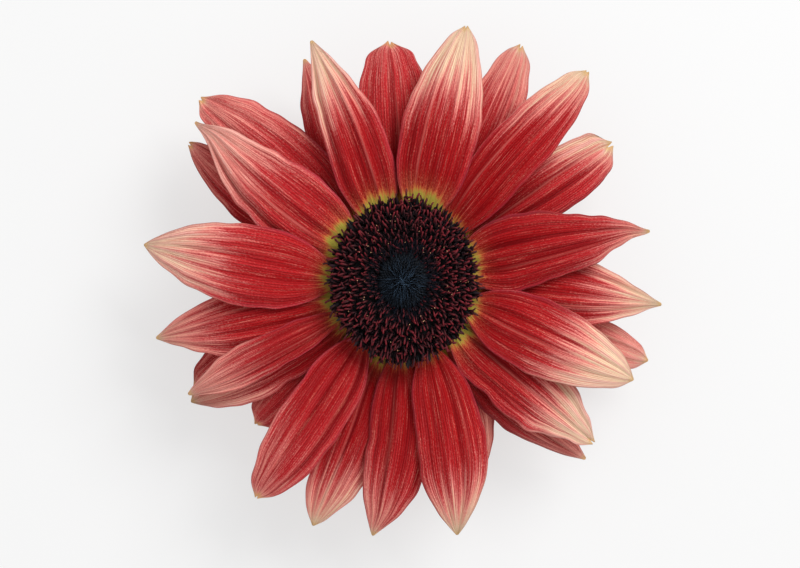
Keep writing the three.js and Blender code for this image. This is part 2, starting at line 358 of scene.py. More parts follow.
def add_bump(tree, shader, height, strength, distance):
    """Let a height roughen the surface by that distance in metres."""
    bump = place_node(tree, "ShaderNodeBump", {"Height": height, "Strength": strength, "Distance": distance})
    tree.links.new(bump.outputs[0], shader.inputs["Normal"])


print("fibre group has", len(fibres.nodes), "nodes")

# %% [markdown]
# ## The petal's finish
#
# The upper skin is a velvety red that runs out into peach and cream along its fibres, so the border
# between them is ragged and follows the veins. Grooves, low folds and a band beside one crest get
# painted shade in a darker crimson. The inner part is a darker red that is partly the petal's own
# colour and partly painted shade where it lies hidden. The margins get a painted mauve shade, that
# crest and the pleats' crests get painted highlights, the velvet's cells and fibres get painted
# sparkle and glints, and the very foot is yellow-green. Each petal carries how much of each it has
# on its own points; the nodes fray those borders with the fibres.

# %% Petal material
def build_petal_finish():
    """Red to pink to cream by the 'cream' mark, with veins, painted sheen sparkle and glints on the velvet,
    painted shade in the folds and a green foot.

    The colours are laid over each other in turn: each layer has a share, from 0 to 1, and a colour."""
    material, tree, shader = new_material(
        "petal velvet", Roughness=0.6, Sheen_Weight=0.02, Sheen_Roughness=0.4, Specular_IOR_Level=0.07)
    shader.inputs["Sheen Tint"].default_value = colour(255, 170, 170)
    fibre = add_fibres(tree, 46.0, 9.5, 14.0)
    pink = mark(tree, "pink")

    # the fibres move each border a little to and fro
    fray = plus(tree, times(tree, fibre["Streaks"], 0.45), times(tree, fibre["Fibres"], 0.55))
    fray = reckon(tree, "SUBTRACT", fray, 0.5)
    cream = plus(tree, mark(tree, "cream"), times(tree, fray, 0.7))
    deep = reckon(tree, "SUBTRACT", mark(tree, "deep"), times(tree, fray, 0.4), clamp=True)
    warm = plus(tree, mark(tree, "warm"), times(tree, fray, 0.9))
    green = plus(tree, mark(tree, "green"), times(tree, fray, 0.6))

    red = blend_colours(tree, pink, colour(162, 3, 9), colour(202, 36, 44))
    pale = blend_colours(tree, ease(tree, pink, 0.55, 1.0), colour(255, 226, 188), colour(252, 196, 180))
    vein_colour = blend_colours(tree, ease(tree, cream, 0.0, 0.6), colour(112, 2, 8), colour(214, 86, 80))
    # painted sheen: light pink sparkle on the velvet's cells, and glints along the fibres
    grain = times(tree, fibre["Cells"], plus(tree, 0.08, times(tree, pink, 0.4)))
    glint = plus(tree, times(tree, pink, 0.14), times(tree, ease(tree, cream, 0.0, 0.4), 0.36))
    specks = times(tree, fibre["Cells"], ease(tree, mark(tree, "warm"), 0.1, 0.8))
    layers = [
        (times(tree, fibre["Streaks"], 0.35), colour(206, 16, 20)),
        # painted sheen sparkle on the velvet's cells
        (grain, colour(236, 112, 112)),
        (ease(tree, cream, 0.08, 0.34), colour(208, 84, 84)),
        (ease(tree, cream, 0.26, 0.54), colour(246, 150, 138)),
        (ease(tree, cream, 0.46, 0.9), pale),
        # painted glints along the fibres
        (times(tree, ease(tree, fibre["Fibres"], 0.55, 1.0), glint), colour(255, 206, 190)),
        (times(tree, fibre["Veins"], 0.54), vein_colour),
        # a painted highlight: a pale line along one crest
        (times(tree, mark(tree, "crest"), 0.55), colour(238, 140, 128)),
        # painted shade in grooves, low folds and beside the crest, and a darker inner part that is partly
        # its own red and partly painted shade
        (times(tree, deep, 0.7), colour(98, 2, 8)),
        (times(tree, ease(tree, warm, 0.45, 1.15), 0.34), colour(232, 112, 84)),
        (times(tree, specks, 0.34), colour(244, 150, 106)),
        (ease(tree, green, 0.1, 0.5), colour(222, 116, 70)),
        (ease(tree, green, 0.28, 0.66), colour(186, 170, 70)),
        # painted mauve shade along the margins
        (times(tree, mark(tree, "painted_margin_shade"), 0.34), colour(156, 78, 100)),
        (times(tree, mark(tree, "rim"), 0.5), colour(170, 66, 54)),
        (times(tree, mark(tree, "point"), 0.7), colour(246, 198, 122)),
        (times(tree, mark(tree, "under"), 0.5), colour(214, 146, 120)),
    ]
    tissue = red
    for share, layer in layers:
        tissue = blend_colours(tree, share, tissue, layer)
    tree.links.new(tissue, shader.inputs["Base Color"])
    tree.links.new(place_node(tree, "ShaderNodeMapRange", {
        "Value": fibre["Fibres"], "To Min": 0.5, "To Max": 0.72}).outputs[0], shader.inputs["Roughness"])
    add_bump(tree, shader, fibre["Height"], 0.85, 0.35 * mm)
    return material


petal_velvet = build_petal_finish()
print("petal finish has", len(petal_velvet.node_tree.nodes), "nodes")

# %% [markdown]
# ## The petals
#
# A real petal is pleated lengthwise, arches over its neighbours and has a lightly wavy edge and a
# tip that is pointed, blunt or split. The CAD blade gives its arch and outline through a smooth
# curve in both directions. Pleats, veins and waves are then added as heights over the grid, and the
# last rows are pulled back where a tip is split. The sheet gets an underside and thin edges.

# %% The disc's outline, which the petals' green feet follow
disc_stretch = np.array([0.965, 1.085])  # the disc is a little longer one way than the other
green_full, green_gone = 20.2, 23.2  # distance from the axis, in mm, where a foot's green fades out
warm_full, warm_gone = 21.5, 28.0  # and where the warmer red round it does
print("disc is", round(disc_stretch[1] / disc_stretch[0], 2), "times as long as wide")


# %% What each petal is like
# (cream: how much of it is cream, from 0 to 1; start: where along it that begins; lean: +1 puts the
# cream on its left as seen from the disc, -1 on its right; pink: from red to pink; deep: how dark its
# inner part is, partly its own darker red and partly painted shade; pleats: how deep the folds are;
# blunt: width of the tip in mm; split: depth of the tip's notch in mm; hook: how far the tip turns
# sideways in mm; wave: how wavy the edge is; foot: how green the foot is, from 0 to 1; margin: how
# much sooner the cream begins along the edges; full: how much its shoulders fill out near the disc)
plain_petal = {"cream": 0.5, "start": 0.7, "lean": 0.0, "pink": 0.2, "deep": 0.2, "pleats": 1.0,
               "blunt": 0.6, "split": 0.0, "hook": 0.0, "wave": 1.0, "foot": 0.6,
               "margin": 0.09, "full": 0.6}
petal_looks = {
    1: {"cream": 0.45, "start": 0.65, "deep": 0.4, "pink": 0.45},
    2: {"cream": 0.45, "start": 0.62, "pink": 0.6, "blunt": 2.0, "split": 1.0, "deep": 0.2},
    3: {"cream": 0.35, "start": 0.6, "pink": 0.6, "blunt": 2.0, "split": 0.8},
    4: {"cream": 0.3, "start": 0.7, "pink": 0.75, "blunt": 2.5, "split": 0.6},
    5: {"cream": 0.5, "start": 0.5, "lean": 0.5, "deep": 0.3, "pink": 0.5},
    6: {"cream": 0.5, "start": 0.55, "deep": 0.4, "pink": 0.5},
    7: {"cream": 0.6, "start": 0.55, "pink": 0.45, "blunt": 1.2},
    8: {"cream": 0.85, "start": 0.72, "lean": 1.1, "pleats": 1.5, "blunt": 3.0, "split": 2.0, "deep": 0.4,
        "pink": 0.3, "margin": 0.1},
    9: {"cream": 0.6, "start": 0.6, "lean": -0.3, "pink": 0.4, "blunt": 2.0, "split": 1.2, "deep": 0.2},
    10: {"cream": 0.25, "start": 0.66, "deep": 0.12, "pink": 0.45, "blunt": 2.4, "split": 1.2},
    11: {"cream": 0.4, "start": 0.5, "pink": 0.5, "blunt": 3.0, "split": 1.0, "deep": 0.15, "wave": 1.6},
    12: {"cream": 0.9, "start": 0.62, "pink": 0.2, "pleats": 1.2, "lean": 0.2, "foot": 0.7},
    13: {"cream": 0.78, "start": 0.64, "pink": 0.25, "margin": 0.06, "deep": 0.25, "lean": 0.6, "wave": 1.5,
         "full": 1.2},
    14: {"cream": 0.62, "start": 0.6, "lean": 0.6, "pink": 0.35, "wave": 1.4, "full": 1.0},
    15: {"cream": 1.0, "start": 0.58, "pink": 0.35, "blunt": 1.8, "split": 1.4, "wave": 2.2, "foot": 0.8,
         "lean": 0.4, "margin": 0.08, "full": 1.0},
    16: {"cream": 0.6, "start": 0.7, "margin": 0.05, "deep": 0.3, "hook": -1.0, "pink": 0.2, "lean": -0.5,
         "foot": 0.35, "full": 1.2},
    17: {"cream": 0.62, "start": 0.62, "pink": 0.3, "wave": 1.8, "foot": 0.8, "full": 1.0, "deep": 0.1},
    18: {"cream": 0.85, "start": 0.68, "lean": 0.8, "pink": 0.15, "blunt": 2.2, "split": 0.6, "hook": 0.8,
         "foot": 0.4, "margin": 0.06, "full": 0.8, "deep": 0.1},
    19: {"cream": 0.62, "start": 0.7, "pleats": 1.4, "deep": 0.25, "pink": 0.2, "hook": -1.0, "wave": 1.8,
         "foot": 0.6, "lean": -0.4, "full": 1.0},
    20: {"cream": 1.0, "start": 0.58, "pleats": 0.7, "split": 0.8, "blunt": 1.4, "pink": 0.25, "foot": 0.9},
    21: {"cream": 0.7, "start": 0.5, "pleats": 1.5, "pink": 0.6, "wave": 1.6, "hook": 1.2, "foot": 0.9,
         "deep": 0.15},
    22: {"cream": 0.84, "start": 0.56, "pink": 0.4, "deep": 0.0, "pleats": 0.7, "foot": 0.7, "margin": 0.08},
    23: {"cream": 1.0, "start": 0.58, "pleats": 1.2, "pink": 0.35, "lean": 0.3, "foot": 0.7},
    24: {"cream": 1.0, "start": 0.55, "pleats": 0.9, "pink": 0.3, "lean": -0.1, "margin": 0.1, "full": 1.0},
    25: {"cream": 0.92, "lean": 0.2, "deep": 0.1, "foot": 0.3, "margin": 0.06, "full": 1.2},
    26: {"cream": 0.38, "start": 0.62, "pink": 0.45, "margin": 0.12, "blunt": 1.6, "split": 0.8,
         "lean": -0.5, "foot": 0.2, "full": 1.4},
    27: {"cream": 0.6, "start": 0.55, "pink": 0.5},
}
petals_count = len([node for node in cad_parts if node.startswith("ray_floret")])
print(petals_count, "petals, each with its own look")


# %% Waves
def wavering(rng, place, waves, size):
    """A smooth random line: a sum of sines of rising pitch and falling height."""
    total = np.zeros_like(place)
    for k in range(1, waves + 1):
        total = total + np.sin(2 * np.pi * (k * place * 0.7 + rng.random())) * rng.uniform(0.5, 1) / k
    return size * total / 1.5


print("a wave starts at", round(float(wavering(np.random.default_rng(0), np.zeros(1), 3, 1.0)[0]), 2))


# %% A petal's outline
def petal_outline(rng, look, along, middle, half, u, v):
    """How far forward and aside of its line each point lies, its half width, and a fade.

    The half width is the CAD blade's, fuller near the disc by a bell in u, and wider at a blunt tip.
    The margins waver, the tip turns aside, and the last rows draw back by a bell in v where the tip
    is split. The fade falls to 0 as the petal gets too narrow for detail."""
    near_tip = smoothstep(0.86, 1.0, u)
    half = half * (1 + 0.17 * look["full"] * np.exp(-((u[:, 0] - 0.2) / 0.17) ** 2))
    half = np.maximum(half[:, None] + near_tip * look["blunt"] / 2 * mm * (1 - 0.4 * near_tip), 0.12 * mm)
    left = wavering(rng, u * 3, 4, 0.4 * mm) * smoothstep(0.1, 0.4, u) * look["wave"]
    right = wavering(rng, u * 3, 4, 0.4 * mm) * smoothstep(0.1, 0.4, u) * look["wave"]
    fade = np.minimum(half / (4 * mm), 1)
    aside = middle[:, None] + v * half + np.abs(v) ** 3 * np.where(v > 0, left, right) * fade
    aside = aside + look["hook"] * mm * smoothstep(0.84, 1.0, u) ** 1.5
    notch = look["split"] * mm * np.exp(-((v - rng.uniform(-0.25, 0.25)) / 0.28) ** 2)
    rounding = 0.35 * look["blunt"] * mm * v**2
    forward = along[:, None] - near_tip * (notch + rounding)
    return forward, aside, half, fade


# %% A petal's relief
def petal_relief(rng, look, half, u, v):
    """Heights in mm over the arch, and the pleats and grooves they are made of.

    A pleat is a cosine in v whose crests drift along u; a groove is a narrow bell in v; veins are a
    finer cosine; and the edge ripples by a wavering line that grows with the fourth power of v."""
    body = smoothstep(0.0, 0.18, u) * (1 - 0.55 * smoothstep(0.75, 1.0, u))
    drift = wavering(rng, u, 2, 0.35)
    pleats = np.cos(np.pi * (3.1 * v + drift + rng.random())) * 0.24
    pleats = pleats + np.cos(np.pi * (5.7 * v - drift + rng.random() * 2)) * 0.13
    grooves = np.zeros_like(u * v)
    for centre in np.linspace(-0.66, 0.66, 4) + rng.uniform(-0.13, 0.13, 4):
        place = v - centre - wavering(rng, u, 2, 0.035)
        depth = rng.uniform(0.35, 1.0) * smoothstep(0.02, 0.15, u) * (1 - smoothstep(0.6, 1.0, u) * 0.7)
        grooves = grooves + depth * np.exp(-((place / 0.055) ** 2))
    veins = np.cos(np.pi * (17 * v + 0.6 * wavering(rng, u, 3, 1.0))) * 0.045
    veins = veins * np.minimum(half / (5 * mm), 1)
    ripple = np.abs(v) ** 4 * wavering(rng, u * 2.4 + v, 3, 0.30) * look["wave"]
    relief = body * (look["pleats"] * (pleats - 0.30 * grooves) + veins)
    return relief + ripple * smoothstep(0.2, 0.6, u), pleats, grooves


# %% A petal's marks
def petal_marks(rng, look, axis_distance, pleats, grooves, u, v):
    """For each mark that the finish reads, its values on the top and on the underside."""
    # where the cream begins, and how green and warm the foot is
    streaks = wavering(rng, v * 4 + 0.05 * u, 7, 0.08) + wavering(rng, v * 13 + 0.2 * u, 4, 0.05)
    start = look["start"] - look["lean"] * 0.18 * v - look["margin"] * v**2 + streaks
    cream = look["cream"] * smoothstep(-0.12, 0.42, u - start) ** 0.8 + 0.25 * smoothstep(0.93, 1.0, u)
    green_end = (green_gone + 4.0 * look["foot"] * (1 - v**2) + wavering(rng, v * 3, 4, 1.3)) * mm
    green = look["foot"] * (1 - smoothstep(green_full * mm, green_end, axis_distance)) * (1 - 0.4 * v**2)
    green = np.clip(green + 0.35 * green * wavering(rng, v * 2.5, 3, 1.0), 0, 1)
    warm_end = (warm_gone + 5 * look["foot"]) * mm
    warm = look["foot"] * (1 - smoothstep(warm_full * mm, warm_end, axis_distance))

    # a painted highlight along one crest with painted shade in a band beside it, painted shade in grooves
    # and low folds, and the darker inner part, partly its own red and partly painted shade
    low = np.clip(-pleats * 2.4, 0, 1) * look["pleats"] * 0.5
    high = np.clip(pleats * 2.4, 0, 1) * look["pleats"]
    crest_place = (v - rng.uniform(-0.55, 0.55) - wavering(rng, u, 2, 0.05)) / 0.03
    beside = np.exp(-((crest_place - 2.6) / 1.7) ** 2) * (1 - smoothstep(0.7, 1.0, u))
    crest = rng.uniform(0.2, 1.0) * np.exp(-crest_place**2)
    crest = crest * smoothstep(0.1, 0.3, u) * (1 - smoothstep(0.6, 0.85, u))
    deep = look["deep"] * (1 - smoothstep(0.35, 0.85, u)) + 0.45 * grooves + 0.5 * beside
    deep = deep + low * (1 - 0.5 * u)
    deep = np.clip(deep * smoothstep(0.03, 0.2, u) * (1 - 0.7 * green), 0, 1)

    # the painted mauve shade along the margins, the pink, and the thin dry rim and point
    painted_margin_shade = smoothstep(0.86, 1.0, np.abs(v)) * (0.4 + 0.6 * look["pink"]) * (1 - 0.6 * cream)
    # the 0.25 * high term makes the pleats' crests pinker, a painted highlight
    pink = look["pink"] - 0.25 + 0.55 * smoothstep(0.2, 0.85, u) + 0.25 * high + 0.3 * np.abs(v) ** 3
    pink = np.clip(pink + 0.18 * wavering(rng, v * 4, 4, 1.0), 0, 1)
    rim = smoothstep(0.93, 1.0, np.abs(v)) * smoothstep(0.3, 0.6, u)
    point = smoothstep(0.965, 1.0, u)
    return {"cream": (cream, cream * 0.6), "green": (green, green), "warm": (warm, warm),
            "deep": (deep, deep * 0.3), "painted_margin_shade": (painted_margin_shade, painted_margin_shade * 0.4), "pink": (pink, pink),
            "crest": (crest, 0 * crest), "rim": (rim, rim), "point": (point, point),
            "under": (0.0, 1.0)}


# %% A petal's skin
def petal_surface(blade, look, seed, rows=132, columns=60, thickness=0.3 * mm):
    """Points of a petal's closed skin, row by row, with the marks its finish reads.

    Top height = the CAD blade's arch + relief. The underside is the top lowered by a thickness that
    thins out to the edges."""
    rng = np.random.default_rng(seed)
    along, middle, half, arch, u, v = smooth_blade(blade, rows, columns)
    forward, aside, half, fade = petal_outline(rng, look, along, middle, half, u, v)
    relief, pleats, grooves = petal_relief(rng, look, half, u, v)
    top = arch + relief * mm * fade
    wall = thickness * (1 - 0.75 * np.abs(v) ** 6) * np.ones_like(u)
    x, y = blade_place(blade, forward, aside)
    axis_distance = np.hypot(x / disc_stretch[0], y / disc_stretch[1])
    marks = petal_marks(rng, look, axis_distance, pleats, grooves, u, v)
    own_length = forward + seed * 0.31  # so that no two petals have the same fibres
    marks = {"along": (own_length, own_length), "across": (v, v), **marks}
    points = closed_skin(top.shape, x=(x, x), y=(y, y), z=(top, top - wall))
    return np.stack(list(points.values()), axis=-1), closed_skin(top.shape, **marks)


# %% Make the petals
for number in range(1, petals_count + 1):
    node = f"ray_floret_{number:02d}"
    look = {**plain_petal, **petal_looks[number]}
    points, marks = petal_surface(read_blade(node, *petal_corners), look, number)
    faces = closed_grid_faces(points.shape[0], points.shape[1])
    make_piece(f"petal_{number:02d}", points.reshape(-1, 3), faces[:, ::-1], petal_velvet,
               (node,), marks)
print("petals have", points.shape[0] * points.shape[1], "points each")

# %% [markdown]
# ## The disc
#
# The disc is not one thing but several hundred florets, set in the spiral that sunflowers pack their
# seeds in: each one turns by the golden angle from the last and sits a little further out. The open
# ones are dark tubes with pointed lobes, and each pushes out a crimson style that bends along the
# radius. In the middle the buds are still shut and lean inwards under fine pale hairs. Copying
# hundreds of objects would be slow, so each kind is one mesh: a small template, moved, leaned and
# turned once for every floret in a single array.

# %% Where the florets stand
golden_angle = math.pi * (3 - math.sqrt(5))
disc_low, disc_high = (np.array(corner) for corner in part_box("open_disc_florets"))
centre_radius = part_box("unopened_disc_florets")[1][0]
disc_radius = disc_high[0]


def disc_profile():
    """Radius and height of the top of the CAD disc, from its middle to its widest."""
    tops = []
    for node in ("unopened_disc_florets", "open_disc_florets"):
        corners = node_corners(node)
        radius = np.round(np.hypot(corners[:, 0], corners[:, 1]), 5)
        tops += [(r, corners[radius == r, 2].max()) for r in np.unique(radius)]
    radius, height = np.array(sorted(tops)).T
    keep = height > disc_low[2] + 4 * mm
    return radius[keep], height[keep]


profile_radius, profile_height = disc_profile()


def disc_height(radius):
    """Height of the disc's top at that radius."""
    return np.interp(radius, profile_radius, profile_height)


def spiral(count, inner, outer):
    """Radius and angle of count florets, each taking the same area between two radii."""
    turn = np.arange(count)
    radius = np.sqrt(inner**2 + (outer**2 - inner**2) * (turn + 0.5) / count)
    return radius, turn * golden_angle


print("disc radius", round(disc_radius / mm, 1), "mm, buds inside", round(centre_radius / mm, 1), "mm")


# %% Copy a template to many places
def scatter(template, radius, angle, height, lean, turn, size):
    """Copies of a template's points (n by 3), one for each floret, as copies by n by 3.

    Each copy is scaled, turned about its own axis, leaned outwards along the radius, and carried to
    its place. Leaning is a turn in the plane of the radius and the vertical."""
    local = template[None] * size[:, None, None]
    cos, sin = np.cos(turn)[:, None], np.sin(turn)[:, None]
    x = local[..., 0] * cos - local[..., 1] * sin
    y = local[..., 0] * sin + local[..., 1] * cos
    cos, sin = np.cos(lean)[:, None], np.sin(lean)[:, None]
    outward = x * cos + local[..., 2] * sin
    up = local[..., 2] * cos - x * sin
    cos, sin = np.cos(angle)[:, None], np.sin(angle)[:, None]
    far = radius[:, None] + outward
    return np.stack([(far * cos - y * sin) * disc_stretch[0], (far * sin + y * cos) * disc_stretch[1],
                     height[:, None] + up], axis=-1)


def repeat_faces(faces, points_each, copies):
    """The template's faces once for every copy."""
    return (faces[None] + (np.arange(copies) * points_each)[:, None, None]).reshape(-1, 4)


def turned_template(profile, sides, lobes=0.0):
    """A small turned shape. profile lists radius and height in mm; a lobed shape's rim points rise."""
    profile = np.array(profile) * mm
    around = np.arange(sides) * 2 * np.pi / sides
    radius, height = profile[:, :1], profile[:, 1:]
    rim = np.linspace(0, 1, len(profile))[:, None] ** 3
    points = np.stack([radius * np.cos(around), radius * np.sin(around),
                       height + lobes * mm * rim * np.cos(around * sides / 2) * (radius > 0)], axis=-1)
    return points.reshape(-1, 3), lathe_faces(len(profile), sides)


def up_share(template, length):
    """How far up a template each point lies, from 0 to 1 over that length in mm."""
    return np.clip(template[:, 2] / (length * mm), 0, 1)


def make_florets(name, points, faces, finish, tip, stands_for=()):
    """Make one piece of many copies: points is copies by n by 3, and faces are the template's."""
    return make_piece(name, points.reshape(-1, 3), repeat_faces(faces, points.shape[1], len(points)),
                      finish, stands_for, {"tip": tip}, merge=True)


print("neighbouring florets are", round(math.degrees(golden_angle), 1), "degrees apart")


# %% Disc finishes
def dark_finish(name, dark, light, roughness, share_low, share_high):
    """Near-black tissue that goes to a lighter colour towards each floret's tip by its 'tip' mark."""
    material, tree, shader = new_material(name, Roughness=roughness, Specular_IOR_Level=0.2)
    place = place_node(tree, "ShaderNodeTexCoord").outputs["Object"]
    mottle = place_node(tree, "ShaderNodeTexNoise", {
        "Vector": place, "Scale": 900.0, "Detail": 2.0}).outputs[0]
    share = plus(tree, mark(tree, "tip"), times(tree, mottle, 0.4))
    tissue = blend_colours(tree, ease(tree, share, share_low, share_high), dark, light)
    tree.links.new(tissue, shader.inputs["Base Color"])
    add_bump(tree, shader, mottle, 0.4, 0.1 * mm)
    return material


tube_finish = dark_finish("dark corolla", colour(12, 12, 16), colour(50, 20, 30), 0.7, 0.5, 1.4)
style_finish = dark_finish("crimson style", colour(22, 10, 14), colour(122, 28, 38), 0.5, 0.15, 1.3)
bud_finish = dark_finish("blue-black bud", colour(3, 7, 13), colour(9, 17, 28), 0.6, 0.6, 1.5)
hair_finish = dark_finish("pale hair", colour(14, 24, 38), colour(100, 130, 160), 0.6, 0.3, 1.3)
pollen_finish = dark_finish("pollen", colour(150, 90, 70), colour(222, 170, 130), 0.8, 0.2, 1.0)
print("each disc finish has", len(tube_finish.node_tree.nodes), "nodes")


# %% The bed under the florets
bed_sides = 72
bed_depth = 3.4 * mm  # how far the bed lies below the florets' tips


def build_disc_bed():
    """A dark dome under the florets, so that nothing pale shows between them."""
    radius = np.concatenate([np.linspace(0, disc_radius - 1.6 * mm, 24),
                             [disc_radius - 2.0 * mm, disc_radius - 4.4 * mm, 0]])
    height = disc_height(radius) - bed_depth
    height[-3:] = [disc_low[2] + 2.2 * mm, disc_low[2], disc_low[2]]
    around = np.arange(bed_sides) * 2 * np.pi / bed_sides
    points = np.stack([radius[:, None] * np.cos(around) * disc_stretch[0],
                       radius[:, None] * np.sin(around) * disc_stretch[1],
                       height[:, None] * np.ones_like(around)], axis=-1)
    return make_piece("disc_bed", points.reshape(-1, 3), lathe_faces(len(radius), bed_sides)[:, ::-1],
                      tube_finish, marks={"tip": np.zeros(points.shape[:2])}, merge=True)


print("the bed has", len(build_disc_bed().data.polygons), "faces")


# %% Open florets: the dark lobed tubes
chance = np.random.default_rng(11)
open_count = 700
open_radius, open_angle = spiral(open_count, centre_radius * 0.92, disc_radius - 1.3 * mm)
open_share = np.clip((open_radius - centre_radius) / (disc_radius - centre_radius), 0, 1)
clumps = wavering(chance, open_angle % (2 * np.pi), 9, 0.75 * mm)
open_radius = open_radius + chance.normal(0, 0.2 * mm, open_count) + open_share**5 * (clumps - 0.3 * mm)
open_lean = np.radians(-4 + 46 * open_share**1.8) + chance.normal(0, 0.10, open_count)
open_turn = chance.uniform(0, 2 * np.pi, open_count)
open_size = chance.uniform(0.88, 1.12, open_count) * (0.84 + 0.2 * open_share)
tube_length = 3.2  # mm
sunk = 0.9  # how far, in mm, a tube's mouth is below the tips of the styles
open_height = (disc_height(open_radius) - (tube_length + sunk) * mm * open_size * np.cos(open_lean)
               + chance.normal(0, 0.2 * mm, open_count))

tube, tube_faces = turned_template(
    [(0, 0), (0.34, 0.05), (0.38, 1.4), (0.46, 2.3), (0.64, 2.95), (0.36, 2.5), (0, 1.7)], 10, lobes=0.5)
tube_points = scatter(tube, open_radius, open_angle, open_height, open_lean, open_turn, open_size)
tube_tip = np.tile(up_share(tube, tube_length) ** 3, (open_count, 1))
make_florets("open_florets", tube_points, tube_faces[:, ::-1], tube_finish, tube_tip,
             ("open_disc_florets",))
print(open_count, "open florets")


# %% Their styles
def rod_template(line, thickness, sides=6):
    """A tapered rod along a bent centre line in the plane of the radius and the vertical.

    Each row is a circle square to the line's direction there; the end rows shrink to a point."""
    line = np.array(line, dtype=float)
    thickness = np.array(thickness)
    ahead = np.gradient(line, axis=0)
    ahead = ahead / np.linalg.norm(ahead, axis=1, keepdims=True)
    side = np.array([0.0, 1.0, 0.0]) * np.ones((len(line), 1))
    up = np.cross(ahead, side)
    around = np.arange(sides) * 2 * np.pi / sides
    points = (line[:, None] + thickness[:, None, None] * (np.cos(around)[None, :, None] * side[:, None]
              + np.sin(around)[None, :, None] * up[:, None])) * mm
    return points.reshape(-1, 3), lathe_faces(len(line), sides)


# a style comes up out of the tube's middle, bends outwards and swells before its blunt end (mm)
style_line = [(-0.10, 0, 1.5), (-0.08, 0, 1.55), (0.0, 0, 2.4), (0.14, 0, 3.1), (0.42, 0, 3.55),
              (0.84, 0, 3.8), (1.28, 0, 3.94), (1.56, 0, 4.0), (1.7, 0, 4.02)]
style_thickness = [0, 0.15, 0.17, 0.19, 0.22, 0.24, 0.25, 0.19, 0]
style, style_faces = rod_template(style_line, style_thickness)
ripe = np.clip(open_share / 0.3, 0, 1)  # the innermost styles are only just coming out
style_turn = chance.normal(0, 0.42, open_count)
style_size = open_size * (0.72 + 0.3 * ripe) * chance.uniform(0.85, 1.12, open_count)
style_radius = open_radius - 0.4 * mm
style_points = scatter(style, style_radius, open_angle, open_height, open_lean, style_turn, style_size)
style_tip = np.repeat(np.clip(np.linspace(-0.2, 1.1, len(style_line)), 0, 1), 6)[None]
style_tip = style_tip * (chance.uniform(0.35, 1.1, open_count) * (0.45 + 0.55 * ripe))[:, None]

# an older floret's style has split in two, and its second arm points another way
split_one = np.nonzero((open_share > 0.45) & (chance.random(open_count) < 0.4))[0]
arm_side = np.where(chance.random(len(split_one)) < 0.5, 1, -1)
arm_turn = style_turn[split_one] + arm_side * chance.uniform(0.9, 2.0, len(split_one))
arm_points = scatter(style, style_radius[split_one], open_angle[split_one], open_height[split_one],
                     open_lean[split_one], arm_turn, style_size[split_one] * 0.86)
all_styles = np.concatenate([style_points, arm_points])
make_florets("floret_styles", all_styles, style_faces, style_finish,
             np.concatenate([style_tip, style_tip[split_one]]))
print(len(all_styles), "style arms")


# %% The pointed scales round the disc's edge
scale_count = 108
scale_length = 3.1  # mm
scale_angle = np.arange(scale_count) * golden_angle + chance.normal(0, 0.02, scale_count)
scale_radius = disc_radius - chance.uniform(1.7, 2.7, scale_count) * mm
scale_lean = np.radians(chance.uniform(40, 76, scale_count))
scale_size = chance.uniform(0.65, 1.35, scale_count)
scale_height = disc_height(scale_radius) - chance.uniform(1.4, 2.4, scale_count) * mm
scale_leaf, scale_faces = turned_template(
    [(0, 0), (0.36, 0.1), (0.42, 1.0), (0.36, 1.8), (0.2, 2.5), (0.07, 2.95), (0, scale_length)], 8)
scale_leaf = scale_leaf * np.array([0.55, 1.0, 1.0])
scale_points = scatter(scale_leaf, scale_radius, scale_angle, scale_height, scale_lean,
                       chance.normal(0, 0.3, scale_count), scale_size)
scale_tip = np.tile(up_share(scale_leaf, scale_length), (scale_count, 1))
scale_tip = scale_tip * chance.uniform(0.3, 1.2, (scale_count, 1))
make_florets("rim_scales", scale_points, scale_faces[:, ::-1], tube_finish, scale_tip)
print(scale_count, "rim scales")

# %% [markdown]
# ### The skirt
#
# The outermost florets open first and wither first, and they hang from the disc's edge over the
# wall of the receptacle. The template of the rim scales does for them as well: rows of it, each
# leaned further over than the row above, so that no pale wall shows from the side.

# %% The dark skirt of old florets
skirt_rows, skirt_each = 7, 64
skirt_count = skirt_rows * skirt_each
skirt_row = np.repeat(np.arange(skirt_rows), skirt_each)
skirt_inset = 3.3 * mm  # how far inside the disc's edge the scales are rooted
skirt_step = 0.9  # mm between the roots of the upper rows
first_lean, next_lean = 66, 14  # degrees from upright: the top row, and each row more
skirt_angle = (np.arange(skirt_count) + 0.5 * skirt_row) * 2 * np.pi / skirt_each
skirt_angle = skirt_angle + chance.normal(0, 0.02, skirt_count)
skirt_drop = skirt_step + skirt_step * np.maximum(2 - skirt_row, 0) + chance.normal(0, 0.15, skirt_count)
skirt_lean = np.radians(first_lean + next_lean * skirt_row + chance.normal(0, 5, skirt_count))
skirt_size = chance.uniform(0.8, 1.0, skirt_count) * (1 + 0.06 * skirt_row)
skirt_leaf = scale_leaf * np.array([1.3, 1.3, 1.0])
skirt_radius = np.full(skirt_count, disc_radius - skirt_inset)
skirt_points = scatter(skirt_leaf, skirt_radius, skirt_angle, disc_low[2] + skirt_drop * mm, skirt_lean,
                       chance.normal(0, 0.25, skirt_count), skirt_size)
skirt_tip = np.tile(up_share(scale_leaf, scale_length), (skirt_count, 1))
skirt_tip = skirt_tip * chance.uniform(0.3, 1.3, (skirt_count, 1))
make_florets("floret_skirt", skirt_points, scale_faces[:, ::-1], tube_finish, skirt_tip)
print(skirt_count, "old florets in the skirt")


